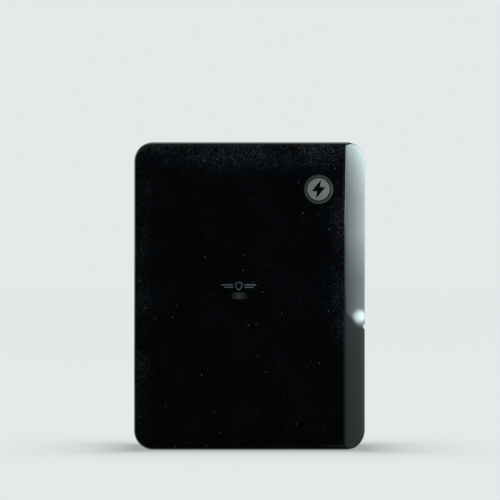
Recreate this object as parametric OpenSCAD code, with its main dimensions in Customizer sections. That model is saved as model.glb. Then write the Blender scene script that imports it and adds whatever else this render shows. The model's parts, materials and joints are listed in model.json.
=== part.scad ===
// Six-outlet wall-tap surge protector, side access, with sliding safety covers.
// Frame: origin at the middle of the wall face, +X to the viewer's right, +Y into the wall, +Z up.
// The front faces -Y. Three outlets open to each side.

/* [Casing] */
// Width of the casing
body_w = 114.5; // [113:0.5:118]
// Height of the casing
body_h = 152.4; // [150:0.2:158]
// Depth from the wall face to the front face
body_d = 41; // [40.5:0.5:43]
// Wall thickness of both shells
wall = 2.4; // [2.2:0.1:2.6]
// Corner radius seen from the front
corner_r = 9.5; // [9:0.5:11]
// Fillet round the front face
front_fillet = 2.6; // [2:0.1:3]
// Fillet round the wall face
back_fillet = 1.2; // [1:0.1:1.6]

/* [Right shoulder] */
// Width of the curved shoulder down the right of the front
shoulder_w = 10.8; // [9:0.1:11]
// Radius of the shoulder's curve
shoulder_r = 14.5; // [14:0.5:16]
// Slope at the crease where the flat face ends, in degrees
shoulder_crease = 8; // [6:1:10]

/* [Outlets] */
// Distance between outlets on one side
outlet_pitch = 38; // [37.5:0.1:38.5]
// Distance between a plug's two blades
blade_spacing = 12.7; // [12.7:0.1:12.7]
// Drop from the blades to the ground pin
ground_drop = 11.9; // [11.9:0.1:11.9]
// Travel of a safety cover from locked to open
cover_travel = 4; // [3.8:0.1:4]

/* [Front details] */
// Height of the indicator window
lens_h = 3.2; // [3:0.1:3.6]
// Width of the indicator window
lens_w = 7.6; // [7:0.1:8]
// Diameter of the badge
badge_d = 14.6; // [14:0.1:15]

/* [Hidden] */
$fn = 48;
SIDES = [["left", -1], ["right", 1]];
ROWS = [["top", 1], ["middle", 0], ["bottom", -1]];

half_w = body_w / 2;
half_h = body_h / 2;
overcut = 1;            // how far a cutting shape runs past what it cuts

// Seam between the shells, a half lap with a shadow gap
seam_y = -18;
seam_gap = 0.4;
lip_wall = 1.1;         // thickness of the rear housing's lip
lip_reach = 2.1;        // how far the lip enters the front cover
lap = wall - lip_wall - 0.1;

// Shoulder curve, an arc whose axis runs up the casing
crease_x = half_w - shoulder_w;
shoulder_x = crease_x - shoulder_r * sin(shoulder_crease);
shoulder_y = -body_d + shoulder_r * cos(shoulder_crease);
shoulder_back_y = shoulder_y - 5;

// Outlet faces. On each side v runs to the right as one faces the outlets, u runs inward
// from the casing's side plane and w runs up.
panel_y = seam_y;
window_v = 27;          // window in the casing's side, across
window_w = 116;         // and up
fit = 0.2;              // gap round a fitted piece
panel_u = 0.6;          // the panel's face lies this far in
panel_back = 4.3;       // its back, against the contact carrier
flange_v = 29.8;
flange_w = 120;
skin_u = 2.6;           // back of the skin, where a cover's pocket starts
pad_size = [25, 27];    // raised face of one outlet
slot_w = 4.8;           // height of the blade slots above the outlet's middle
cover_window = [21.5, 11];
cover_pocket = [28, 13.4];
cover_face = [17.3, 10.7];
cover_flange = [23.6, 13];
cover_face_u = 0.7;
cover_rib = [0.8, 8.4]; // width and height of the five grip ribs
cover_rib_pitch = 1.6;
cover_rib_u = 0.05;
cover_flange_u = [2.75, 4.15];
open_v = -cover_travel / 2;
closed_v = cover_travel / 2;
slot_t = 2.2;           // width of a blade slot
neutral_slot = 8.8;
line_slot = 7.2;
ground_slot_r = 2.7;
ground_slot_drop = 3;   // from its middle down to its flat edge
ground_w = slot_w - ground_drop;

// Contact carrier and its brass strips
carrier_size = [26.8, 115];
carrier_front_wall = 1.7;
carrier_back = 24;
carrier_cover_t = 1.2;
groove_u = 23.2;
spine_u = [23.3, 23.9];
blade_pocket = [5.4, 10.6]; // hollow behind a blade slot, and behind a ground slot
ground_pocket = [7.4, 9.4];
blade_clip_w = 8;
ground_clip_w = 7;
leaf_t = 0.5;
tab_low = 62;           // where the line and neutral strips end
tab_high = 66;          // where the ground strips end
line_v = open_v + blade_spacing / 2;
neutral_v = open_v - blade_spacing / 2;
ground_v = open_v;
relief_size = [18, 12]; // hollow between two outlets of a carrier
relief_w = 18.1;        // its height above the lower outlet's middle
carrier_screw_v = 10.4;
carrier_screw_ws = [18.5, -19.6];
rib_ws = [-48, 0, 48];  // ribs in both shells that hold a carrier by its front and back
rib_u = [6, 22];
rib_t = 1.6;

// Bridges between the left and right strips
bridge_t = 0.8;
bridge_strip = 5;
bridge_tab = 3.4;       // height of its upturned ends
bridge_knee = 20;       // where a bridge starts to slant
line_bridge_z = 58.6;
ground_bridge_z = 62.6;

// Plug on the wall face
plug_z = 23.85;         // height of the blades, the upper half of a duplex receptacle
plug_base_z = 20;
plug_base_size = [29.7, 28.7];
plug_flange = [36, 34];
plug_base_depth = 11;
plug_ear_x = 21;
plug_ear_y = [-8, -6];  // ears that take the two screws
plug_ear_span = 8;      // their height and the width past each screw
blade_w = 6.35;
blade_t = 1.52;
blade_reach = 17.5;
blade_chamfer = [2, 1.4];
blade_head = [2, 8.8];  // stops the blade pulling through the base
blade_hole_r = 1.6;
blade_hole_y = 11.7;
ground_pin_r = 2.38;
ground_shank_r = 2.2;   // thinner inside the base, so a shoulder stops the pin at the wall face
ground_pin_reach = 21;
tail_y = -14;
peg_z = -26.9;          // ground hole of the lower half of the duplex receptacle
peg_r = 2.3;
peg_shank_r = 2.7;      // thicker through the casing's wall
peg_reach = 14;
peg_tip = 2;            // length of its tapered end
peg_tip_r = 1.3;
peg_flange_r = 5;
peg_flange_t = 2.2;

// Surge board
board_x = 30;
board_z = [-56, 4];
board_y = [-17.1, -15.5];
board_holes = [[-26, 0], [26, 0], [-26, -52], [26, -52]];
varistor_xs = [-21, -12, -3];
varistor_z = -26;
varistor_r = 9;
varistor_t = 4.4;
fuse_xs = [-16.5, -7.5];
fuse_r = 1.9;

// Front details
lens_x = (crease_x - half_w) / 2;   // middle of the flat face
lens_z = 0.1;
lens_depth = 8;
lens_flange = 2.4;      // how much wider its flange is, and how thick
lens_flange_t = 1.2;
badge_x = 34.1;
badge_z = 52.8;
badge_recess = 0.6;
badge_relief = 0.15;
badge_rim = 0.9;        // width of the raised rim

// Screws that hold the shells together
housing_posts = [for (x = [-48, 48], z = [-67, 67]) [x, z], [0, 69.5], [0, -69.5]];
post_r = 4.2;
boss_end_y = -20.5;
post_end_y = boss_end_y + 0.1;
boss_top_y = -38.8;
screw_seat_y = -6;
screw_r = 1.5;
head_r = 2.9;
head_t = 2.2;
housing_screw_length = 22;
small_screw_r = 1.25;   // board, plug base and carrier screws
pilot_r = 1.3;          // and the holes that they run into
standoff_r = 3.2;       // posts in the rear housing under the board and the plug base

// Label recess on the wall face
label_size = [47.4, 25.4];
label_z = -53;
label_recess = 0.35;
label_t = 0.2;

// Insulated leads, each a route of its own from end to end
lead_r = 1.3;
thin_lead_r = 0.9;
lead_sides = 8;
lead_steps = 5;         // rings in each stretch of a route
line_feed_route = [[6.35, -14, 23.85], [6.35, -20, 23.5], [11, -26, 19], [18, -27, 8],
                   [20, -23, 0], [20, -17.1, -1]];
neutral_feed_route = [[-6.35, -14, 23.85], [-6.35, -20, 23.5], [-12, -26, 19], [-19, -27, 8],
                      [-21, -23, 0], [-21, -17.1, -1]];
line_out_route = [[-26.5, -17.1, -12], [-26.5, -22, -11], [-27, -27, -4], [-27, -28, 20],
                  [-22, -28, 44], [-13, -22, 54], [-12, -20.6, 58.6]];
neutral_out_route = [[6, -17.1, -48], [6, -21, -48.5], [6, -23, -52], [6, -21, -56],
                     [6, -20.5, -58.6]];
ground_route = [[0, -14, 11.95], [0, -20, 12.5], [0, -29, 20], [2, -31, 36], [10, -24, 52],
                [12, -20.2, 62.6]];
ground_board_route = [[26.5, -17.1, -12], [26.5, -22, -11], [27, -27, -4], [27, -28, 20],
                      [25, -28, 44], [19, -22, 55], [18, -20, 62.6]];

plastic = "#17181b";
inner_plastic = "#2b2c30";
brass = "#c9a24a";
nickel = "#c8c9cc";
steel = "#9a9ca0";

// ---------- shared shapes ----------

// Rectangle with round corners, centred
module rounded_rect(size, r) {
    square([size.x - 2 * r, size.y], center = true);
    square([size.x, size.y - 2 * r], center = true);
    for (x = [-1, 1], y = [-1, 1])
        translate([x * (size.x / 2 - r), y * (size.y / 2 - r)]) circle(r);
}

// A flat outline, drawn across and up, made solid from depth a to depth b
module depth_prism(a, b) translate([0, b, 0]) rotate([90, 0, 0]) linear_extrude(b - a) children();

// Places a piece on one side of the casing, in that side's v, u, w directions
module on_side(side) translate([side * half_w, panel_y, 0]) rotate([0, 0, 90 * side]) children();

// A round slab, t thick, with a fillet f round its top
module puck(r, t, f) rotate_extrude() {
    square([r, t - f]);
    square([r - f, t]);
    translate([r - f, t - f]) circle(f);
}

// A section, span wide and t high, with a fillet f on its two top corners
module crowned_section(span, t, f) {
    translate([-span / 2, 0]) square([span, t - f]);
    translate([-span / 2 + f, 0]) square([span - 2 * f, t]);
    for (s = [-1, 1]) translate([s * (span / 2 - f), t - f]) circle(f);
}

// A slab with round corners and a fillet all round its top face
module filleted_slab(size, r, t, f) {
    for (x = [-1, 1], y = [-1, 1])
        translate([x * (size.x / 2 - r), y * (size.y / 2 - r), 0]) puck(r, t, f);
    length_x = size.x - 2 * r;
    length_y = size.y - 2 * r;
    translate([-length_x / 2, 0, 0]) rotate([90, 0, 90]) linear_extrude(length_x)
        crowned_section(size.y, t, f);
    translate([0, length_y / 2, 0]) rotate([90, 0, 0]) linear_extrude(length_y)
        crowned_section(size.x, t, f);
}

// A cylinder along the depth, from a to b
module depth_cylinder(r, a, b) translate([0, b, 0]) rotate([90, 0, 0]) cylinder(r = r, h = b - a);

// A strip of sheet metal seen on edge: a line of points given a thickness
function edge_normal(a, b) = let (d = b - a) [-d.y, d.x] / norm(d);
function bend_normal(p, i) =
    let (n = i == 0 ? edge_normal(p[0], p[1])
           : i == len(p) - 1 ? edge_normal(p[i - 1], p[i])
           : edge_normal(p[i - 1], p[i]) + edge_normal(p[i], p[i + 1]))
    n / norm(n);
module ribbon(points, t) polygon(concat(
    [for (i = [0:len(points) - 1]) points[i] + bend_normal(points, i) * t / 2],
    [for (i = [len(points) - 1:-1:0]) points[i] - bend_normal(points, i) * t / 2]));

// A smooth curve through a route's points, then a tube along it. The tube's ends are square to
// the nearest axis, so that they lie flat on what they meet
function clamped(p, i) = p[max(0, min(len(p) - 1, i))];
function curve_point(p, i, t) =
    let (a = clamped(p, i - 1), b = p[i], c = clamped(p, i + 1), d = clamped(p, i + 2))
    (2 * b + (c - a) * t + (2 * a - 5 * b + 4 * c - d) * t * t
        + (3 * b - a - 3 * c + d) * t * t * t) / 2;
function smooth_route(p) = concat(
    [for (i = [0:len(p) - 2], k = [0:lead_steps - 1]) curve_point(p, i, k / lead_steps)],
    [p[len(p) - 1]]);
function nearest_axis(d) =
    let (longest = max([for (c = d) abs(c)])) [for (c = d) abs(c) == longest ? sign(c) : 0];
function heading(path, i) =
    let (d = clamped(path, i + 1) - clamped(path, i - 1))
    i == 0 || i == len(path) - 1 ? nearest_axis(d) : d / norm(d);
module tube(route, r) {
    path = smooth_route(route);
    last = len(path) - 1;
    rings = [for (i = [0:last])
        let (t = heading(path, i), m = cross(t, [1, 0, 0]), a = m / norm(m), b = cross(t, a))
        for (k = [0:lead_sides - 1])
            let (angle = 360 * k / lead_sides) path[i] + r * (cos(angle) * a + sin(angle) * b)];
    sides = [for (i = [0:last - 1], k = [0:lead_sides - 1])
        let (q = (k + 1) % lead_sides, n = i * lead_sides)
        [n + k, n + lead_sides + k, n + lead_sides + q, n + q]];
    first_cap = [for (k = [0:lead_sides - 1]) k];
    last_cap = [for (k = [lead_sides - 1:-1:0]) last * lead_sides + k];
    polyhedron(rings, concat(sides, [first_cap, last_cap]), convexity = 6);
}

// ---------- casing ----------

// Section of the casing seen from above, whole apart from what the shoulder takes off
module shoulder_section(inset) {
    translate([-body_w, -2 * body_d]) square([body_w + shoulder_x, 3 * body_d]);
    translate([shoulder_x, shoulder_y]) circle(shoulder_r - inset);
    translate([-body_w, shoulder_back_y]) square([2 * body_w, 2 * body_d]);
}

module shoulder_prism(inset) translate([0, 0, -body_h]) linear_extrude(2 * body_h)
    shoulder_section(inset);

module front_outside() intersection() {
    translate([0, seam_y - seam_gap / 2, 0]) rotate([90, 0, 0])
        filleted_slab([body_w, body_h], corner_r, body_d + seam_y - seam_gap / 2, front_fillet);
    shoulder_prism(0);
}

module front_inside() intersection() {
    depth_prism(-body_d + wall, seam_y + overcut)
        rounded_rect([body_w - 2 * wall, body_h - 2 * wall], corner_r - wall);
    shoulder_prism(wall);
}

// Windows for the two outlet panels
module side_windows() for (s = SIDES) on_side(s[1])
    depth_prism(-overcut, wall + overcut) rounded_rect([window_v, window_w], 3);

// Ribs across both carriers, in depth from y = a to y = b
module carrier_ribs(a, b) for (s = [-1, 1], w = rib_ws)
    translate([s * (half_w - (rib_u[0] + rib_u[1]) / 2) - (rib_u[1] - rib_u[0]) / 2, a, w - rib_t / 2])
        cube([rib_u[1] - rib_u[0], b - a, rib_t]);

module front_cover() color(plastic) difference() {
    union() {
        difference() {
            front_outside();
            front_inside();
            depth_prism(seam_y - seam_gap / 2 - lip_reach, seam_y + overcut)
                rounded_rect([body_w - 2 * lap, body_h - 2 * lap], corner_r - lap);
            side_windows();
        }
        intersection() {
            carrier_ribs(-body_d + wall / 2, panel_y - carrier_size.x / 2);
            shoulder_prism(wall / 2);
        }
        for (p = housing_posts) translate([p.x, 0, p.y])
            depth_cylinder(post_r, boss_top_y, boss_end_y);
    }
    for (p = housing_posts) translate([p.x, 0, p.y])
        depth_cylinder(screw_r + 0.05, boss_end_y - 10, boss_end_y + overcut);
    translate([lens_x, 0, lens_z]) depth_prism(-body_d - overcut, -body_d + wall + overcut)
        rounded_rect([lens_w + fit, lens_h + fit], 0.6);
    translate([badge_x, 0, badge_z])
        depth_cylinder(badge_d / 2 + fit / 2, -body_d - overcut, -body_d + badge_recess);
}

module rear_housing() color(plastic) difference() {
    union() {
        difference() {
            union() {
                translate([0, seam_y + seam_gap / 2, 0]) rotate([-90, 0, 0])
                    filleted_slab([body_w, body_h], corner_r, -seam_y - seam_gap / 2, back_fillet);
                depth_prism(seam_y - lip_reach, seam_y + overcut)
                    rounded_rect([body_w - 2 * (wall - lip_wall), body_h - 2 * (wall - lip_wall)],
                                 corner_r - wall + lip_wall);
            }
            depth_prism(seam_y - lip_reach - overcut, -wall)
                rounded_rect([body_w - 2 * wall, body_h - 2 * wall], corner_r - wall);
            side_windows();
        }
        for (p = housing_posts) translate([p.x, 0, p.y])
            depth_cylinder(post_r, post_end_y, -wall / 2);
        carrier_ribs(panel_y + carrier_size.x / 2, -wall / 2);
        for (h = board_holes) translate([h.x, 0, h.y])
            depth_cylinder(standoff_r, board_y[1], -wall / 2);
        for (s = [-1, 1]) translate([s * plug_ear_x, 0, plug_base_z])
            depth_cylinder(standoff_r, plug_ear_y[1], -wall / 2);
    }
    for (p = housing_posts) translate([p.x, 0, p.y]) {
        depth_cylinder(screw_r + 0.3, post_end_y - overcut, overcut);
        depth_cylinder(head_r + 0.3, screw_seat_y, overcut);
    }
    for (h = board_holes) translate([h.x, 0, h.y])
        depth_cylinder(pilot_r, board_y[1] - overcut, -5);
    for (s = [-1, 1]) translate([s * plug_ear_x, 0, plug_base_z])
        depth_cylinder(pilot_r, plug_ear_y[1] - overcut, -wall / 2);
    translate([0, 0, plug_base_z]) depth_prism(-wall - overcut, overcut)
        rounded_rect(plug_base_size + [fit, fit] * 1.5, 4);
    translate([0, 0, peg_z]) depth_cylinder(peg_shank_r + 0.1, -wall - overcut, overcut);
    translate([0, 0, label_z]) depth_prism(-label_recess, overcut)
        rounded_rect(label_size + [fit, fit] * 2, 2);
}

module rating_label() color("silver") translate([0, 0, label_z])
    depth_prism(-label_recess, -label_recess + label_t) rounded_rect(label_size, 1.8);

// Round badge with a raised rim and a plain bolt of lightning
module bolt_outline() polygon([[0.9, 4.4], [-2.5, -0.5], [-0.3, -0.5], [-1, -4.4], [2.5, 0.7], [0.3, 0.7]]);
module badge() color(nickel) translate([badge_x, 0, badge_z]) {
    depth_cylinder(badge_d / 2, -body_d, -body_d + badge_recess);
    depth_prism(-body_d - badge_relief, -body_d) {
        difference() {
            circle(badge_d / 2);
            circle(badge_d / 2 - badge_rim);
        }
        bolt_outline();
    }
}

// Light pipe with a flange that stops it against the inside of the front
module indicator_lens() color("dimgray") translate([lens_x, 0, lens_z]) {
    depth_prism(-body_d, -body_d + lens_depth) rounded_rect([lens_w, lens_h], 0.5);
    depth_prism(-body_d + wall, -body_d + wall + lens_flange_t)
        rounded_rect([lens_w + lens_flange, lens_h + lens_flange], 0.8);
}

// ---------- outlets ----------

module ground_slot(r, drop) {
    intersection() {
        circle(r);
        translate([-r, 0]) square([2 * r, r]);
    }
    translate([-r, -drop]) square([2 * r, drop + 0.01]);
}

module outlet_panel(side) color(plastic) on_side(side) difference() {
    union() {
        depth_prism(panel_u, panel_back)
            rounded_rect([window_v - 2 * fit, window_w - 2 * fit], 2.8);
        depth_prism(wall + 0.1, panel_back) rounded_rect([flange_v, flange_w], 3);
        for (r = ROWS) translate([0, 0, r[1] * outlet_pitch])
            depth_prism(0, panel_u + 0.2) rounded_rect(pad_size, 3.5);
    }
    for (r = ROWS) translate([0, 0, r[1] * outlet_pitch]) {
        translate([0, 0, slot_w]) {
            depth_prism(-overcut, skin_u + overcut) rounded_rect(cover_window, 0.8);
            depth_prism(skin_u, panel_back + overcut) rounded_rect(cover_pocket, 0.8);
        }
        depth_prism(-overcut, panel_back + overcut)
            translate([ground_v, ground_w]) ground_slot(ground_slot_r, ground_slot_drop);
    }
}

// Sliding cover, drawn locked: its slots and the contact slots don't line up
module safety_cover(side, row) color(inner_plastic) on_side(side)
    translate([closed_v, 0, row * outlet_pitch + slot_w]) difference() {
        union() {
            depth_prism(cover_face_u, cover_flange_u[0] + 0.1) rounded_rect(cover_face, 0.7);
            depth_prism(cover_flange_u[0], cover_flange_u[1]) rounded_rect(cover_flange, 0.7);
            for (i = [-2:2]) translate([i * cover_rib_pitch, 0, 0])
                depth_prism(cover_rib_u, cover_face_u + 0.1) rounded_rect(cover_rib, 0.3);
        }
        for (blade = [[-1, neutral_slot], [1, line_slot]])
            translate([blade[0] * blade_spacing / 2, 0, 0])
                depth_prism(-overcut, panel_back + overcut) rounded_rect([slot_t, blade[1]], 0.4);
    }

module contact_carrier(side) color(inner_plastic) on_side(side) difference() {
    depth_prism(panel_back, carrier_back) square(carrier_size, center = true);
    pocket_u = panel_back + carrier_front_wall;
    for (r = ROWS) translate([0, 0, r[1] * outlet_pitch]) {
        for (b = [[neutral_v, neutral_slot], [line_v, line_slot]]) translate([b[0], 0, slot_w]) {
            depth_prism(panel_back - overcut, pocket_u + overcut) rounded_rect([slot_t, b[1]], 0.4);
            depth_prism(pocket_u, carrier_back + overcut) square(blade_pocket, center = true);
        }
        translate([ground_v, 0, ground_w]) {
            depth_prism(panel_back - overcut, pocket_u + overcut)
                ground_slot(ground_slot_r, ground_slot_drop);
            depth_prism(pocket_u, carrier_back + overcut) square(ground_pocket, center = true);
        }
    }
    for (r = [-1, 0]) translate([ground_v, 0, r * outlet_pitch + relief_w])
        depth_prism(pocket_u, carrier_back + overcut) square(relief_size, center = true);
    // grooves for the strips: line and ground leave at the top, neutral at the bottom
    translate([line_v - 2.75, groove_u, -50]) cube([5.5, 5, 120]);
    translate([ground_v - 3, groove_u, -50]) cube([6, 5, 120]);
    translate([neutral_v - 2.75, groove_u, -70]) cube([5.5, 5, 120]);
    for (w = carrier_screw_ws) translate([carrier_screw_v, 0, w])
        depth_cylinder(pilot_r, 12, carrier_back + overcut);
}

module carrier_cover(side) color("#6b5a3c") on_side(side) difference() {
    depth_prism(carrier_back, carrier_back + carrier_cover_t) square(carrier_size, center = true);
    for (w = carrier_screw_ws) translate([carrier_screw_v, 0, w])
        depth_cylinder(1.4, carrier_back - overcut, carrier_back + carrier_cover_t + overcut);
}

// Half of a clip seen from its end: a leaf that closes on the blade, then flares at its mouth
blade_leaf = [[2.35, 23.6], [2.35, 18], [0.85, 11.5], [1.85, 8]];
ground_leaf = [[2.55, 23.6], [2.55, 9], [3.2, 7]];

module contact_strip(side, v, clip_w, clip_z, leaf, low, high) color(brass) on_side(side)
    translate([v, 0, 0]) {
        half = leaf[0].x + leaf_t / 2;
        translate([-half, spine_u[0], low]) cube([2 * half, spine_u[1] - spine_u[0], high - low]);
        for (r = ROWS) translate([0, 0, r[1] * outlet_pitch + clip_z - clip_w / 2])
            for (m = [0, 1]) mirror([m, 0, 0]) linear_extrude(clip_w) ribbon(leaf, leaf_t);
    }

module line_contacts(side)
    contact_strip(side, line_v, blade_clip_w, slot_w, blade_leaf, -outlet_pitch + slot_w - 4, tab_low);
module neutral_contacts(side)
    contact_strip(side, neutral_v, blade_clip_w, slot_w, blade_leaf, -tab_low, outlet_pitch + slot_w + 4);
module ground_contacts(side)
    contact_strip(side, ground_v, ground_clip_w, ground_w, ground_leaf,
                  -outlet_pitch + ground_w - 3.5, tab_high);

// Flat bar across the casing that joins one polarity's two strips, with upturned ends
module bridge(v, z, up) color(brass) {
    end_x = half_w - spine_u[1];
    translate([0, 0, z]) linear_extrude(bridge_t)
        ribbon([[-end_x, panel_y - v], [-bridge_knee, panel_y - v],
                [bridge_knee, panel_y + v], [end_x, panel_y + v]], bridge_strip);
    for (s = SIDES) {
        tab_x = s[1] > 0 ? end_x - bridge_t : -end_x;
        tab_z = up > 0 ? z : z + bridge_t - bridge_tab;
        translate([tab_x, panel_y + s[1] * v - bridge_strip / 2, tab_z])
            cube([bridge_t, bridge_strip, bridge_tab]);
    }
}

module line_bridge() bridge(line_v, line_bridge_z, 1);
module ground_bridge() bridge(ground_v, ground_bridge_z, 1);
module neutral_bridge() bridge(neutral_v, -line_bridge_z - bridge_t, -1);

// ---------- plug on the wall face ----------

module plug_base() color(inner_plastic) difference() {
    translate([0, 0, plug_base_z]) union() {
        depth_prism(-wall - 1, 0) rounded_rect(plug_base_size, 3.8);
        depth_prism(-plug_base_depth, -wall - 0.1) rounded_rect(plug_flange, 2);
        depth_prism(plug_ear_y[0], plug_ear_y[1])
            rounded_rect([2 * plug_ear_x + plug_ear_span, plug_ear_span], 3.9);
    }
    for (s = [-1, 1]) translate([s * blade_spacing / 2, 0, plug_z])
        depth_prism(-plug_base_depth - overcut, overcut)
            square([blade_t + 0.15, blade_w + 0.15], center = true);
    translate([0, 0, plug_z - ground_drop])
        depth_cylinder(ground_shank_r + 0.1, -plug_base_depth - overcut, overcut);
    for (s = [-1, 1]) translate([s * plug_ear_x, 0, plug_base_z]) {
        depth_cylinder(1.5, -plug_base_depth, -wall);
        depth_prism(-wall - 3.6, -wall + overcut) square([6.8, 6.8], center = true);
        depth_prism(-plug_base_depth - overcut, plug_ear_y[0]) square([6, 6], center = true);
    }
}

// Flat blade with chamfered tip, a hole near the tip and a head that stops it pulling through
module blade(x) color(nickel) translate([x, 0, plug_z]) difference() {
    translate([-blade_t / 2, 0, 0]) rotate([90, 0, 90]) linear_extrude(blade_t) union() {
        polygon([[tail_y, -blade_w / 2], [blade_reach - blade_chamfer.x, -blade_w / 2],
                 [blade_reach, -blade_w / 2 + blade_chamfer.y], [blade_reach, blade_w / 2 - blade_chamfer.y],
                 [blade_reach - blade_chamfer.x, blade_w / 2], [tail_y, blade_w / 2]]);
        translate([-plug_base_depth - blade_head.x, -blade_head.y / 2]) square(blade_head);
    }
    translate([-blade_t, blade_hole_y, 0]) rotate([0, 90, 0]) cylinder(r = blade_hole_r, h = 2 * blade_t);
}

module ground_pin() color(nickel) translate([0, 0, plug_z - ground_drop]) {
    depth_cylinder(ground_shank_r, tail_y, 0.1);
    depth_cylinder(ground_pin_r, 0, ground_pin_reach - ground_pin_r);
    translate([0, ground_pin_reach - ground_pin_r, 0]) sphere(ground_pin_r);
    depth_cylinder(3.4, -plug_base_depth - 2, -plug_base_depth);
}

// Plastic peg that steadies the tap in the lower receptacle's ground hole
module alignment_peg() color(plastic) translate([0, 0, peg_z]) {
    depth_cylinder(peg_shank_r, -wall - 1, 0);
    depth_cylinder(peg_r, -0.1, peg_reach - peg_tip);
    translate([0, peg_reach - peg_tip, 0]) rotate([-90, 0, 0])
        cylinder(r1 = peg_r, r2 = peg_tip_r, h = peg_tip);
    depth_cylinder(peg_flange_r, -wall - peg_flange_t, -wall);
}

// ---------- surge board ----------

module surge_board() color("#1e6b3a") difference() {
    translate([-board_x, board_y[0], board_z[0]])
        cube([2 * board_x, board_y[1] - board_y[0], board_z[1] - board_z[0]]);
    for (h = board_holes) translate([h.x, 0, h.y])
        depth_cylinder(1.6, board_y[0] - overcut, board_y[1] + overcut);
}

// A part's two wire legs, down to the board
module legs(spread, top_y, r) for (z = [-1, 1]) translate([0, 0, z * spread / 2])
    depth_cylinder(r, top_y, board_y[0]);

module varistors() color("#2563a8") for (x = varistor_xs) translate([x, 0, varistor_z]) {
    translate([-varistor_t / 2, board_y[0] - 1.5 - varistor_r, 0]) rotate([0, 90, 0])
        cylinder(r = varistor_r, h = varistor_t);
    legs(7.5, board_y[0] - 4.5, 0.4);
}

module thermal_fuses() color("#d9d2bd") for (x = fuse_xs) translate([x, 0, varistor_z]) {
    translate([0, board_y[0] - 3, -4.5]) cylinder(r = fuse_r, h = 9);
    translate([0, board_y[0] - 3, -7]) cylinder(r = 0.4, h = 14);
    for (z = [-1, 1]) translate([0, 0, z * 7]) {
        depth_cylinder(0.4, board_y[0] - 3, board_y[0]);
        translate([0, board_y[0] - 3, 0]) sphere(0.4);
    }
}

module filter_capacitor() color("#c7a227") translate([12.3, board_y[0], varistor_z]) {
    depth_prism(-15.5, -0.5) rounded_rect([8.5, 18], 0.8);
    for (z = [-1, 1]) translate([0, 0, z * 7.5]) depth_cylinder(0.4, -2, 0);
}

// Part with a round body lying along the board, its legs bent down at both ends
module axial_part(r, length, span) {
    translate([-length / 2, -r - 0.4, 0]) rotate([0, 90, 0]) cylinder(r = r, h = length);
    translate([-span / 2, -r - 0.4, 0]) rotate([0, 90, 0]) cylinder(r = 0.35, h = span);
    for (x = [-1, 1]) translate([x * span / 2, 0, 0]) {
        depth_cylinder(0.35, -r - 0.4, 0);
        translate([0, -r - 0.4, 0]) sphere(0.35);
    }
}

module indicator_resistors() color("tan") for (z = [-8, -12.5]) translate([9, board_y[0], z])
    axial_part(1.3, 6.5, 11);
module indicator_diode() color("#202020") translate([9, board_y[0], -3.5]) axial_part(1.3, 5, 10);

module indicator_led() color("#8fd18f") translate([lens_x, 0, lens_z]) {
    depth_cylinder(1.5, -31, -27);
    translate([0, -31, 0]) sphere(1.5);
    depth_cylinder(1.9, -27.8, -27);
    for (x = [-1, 1]) translate([x * 1.27, 0, 0]) depth_prism(-27, board_y[0]) square(0.5, center = true);
}

// ---------- leads ----------

module line_feed_lead() color("black") tube(line_feed_route, lead_r);
module line_out_lead() color("black") tube(line_out_route, lead_r);
module neutral_feed_lead() color("white") tube(neutral_feed_route, lead_r);
module neutral_out_lead() color("white") tube(neutral_out_route, lead_r);
module ground_lead() color("green") tube(ground_route, lead_r);
module ground_board_lead() color("green") tube(ground_board_route, thin_lead_r);

// ---------- screws ----------

// Pan-head screw with a cross recess. Its seat is at y = 0 and its head points to +Y
module screw(r, length, head, head_t) difference() {
    union() {
        depth_cylinder(r, -length, 0);
        depth_cylinder(head, 0, head_t);
    }
    depth_prism(head_t - 1, head_t + overcut) {
        square([head * 1.1, 0.7], center = true);
        square([0.7, head * 1.1], center = true);
    }
}

module housing_screws() color(steel) for (p = housing_posts) translate([p.x, screw_seat_y, p.y])
    screw(screw_r, housing_screw_length, head_r, head_t);

module board_screws() color(steel) for (h = board_holes) translate([h.x, board_y[0], h.y])
    rotate([0, 0, 180]) screw(small_screw_r, 8.5, 2.5, 1.7);

module plug_base_screws() color(steel) for (s = [-1, 1])
    translate([s * plug_ear_x, plug_ear_y[0], plug_base_z]) rotate([0, 0, 180])
        screw(small_screw_r, 6.2, 2.4, 1.7);

module carrier_screws() color(steel) for (s = SIDES, w = carrier_screw_ws) on_side(s[1])
    translate([carrier_screw_v, carrier_back + carrier_cover_t, w])
        screw(small_screw_r, 12, 2.3, 1.5);

// ---------- the whole tap ----------

front_cover();
rear_housing();
badge();
indicator_lens();
rating_label();
for (s = SIDES) {
    outlet_panel(s[1]);
    contact_carrier(s[1]);
    carrier_cover(s[1]);
    line_contacts(s[1]);
    neutral_contacts(s[1]);
    ground_contacts(s[1]);
    for (r = ROWS)
        safety_cover(s[1], r[1]);
}
line_bridge();
neutral_bridge();
ground_bridge();
plug_base();
blade(blade_spacing / 2);  // line_blade
blade(-blade_spacing / 2);  // neutral_blade
ground_pin();
alignment_peg();
surge_board();
varistors();
thermal_fuses();
filter_capacitor();
indicator_resistors();
indicator_diode();
indicator_led();
line_feed_lead();
neutral_feed_lead();
line_out_lead();
neutral_out_lead();
ground_lead();
ground_board_lead();
housing_screws();
board_screws();
plug_base_screws();
carrier_screws();
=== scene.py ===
import json
import math

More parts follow.
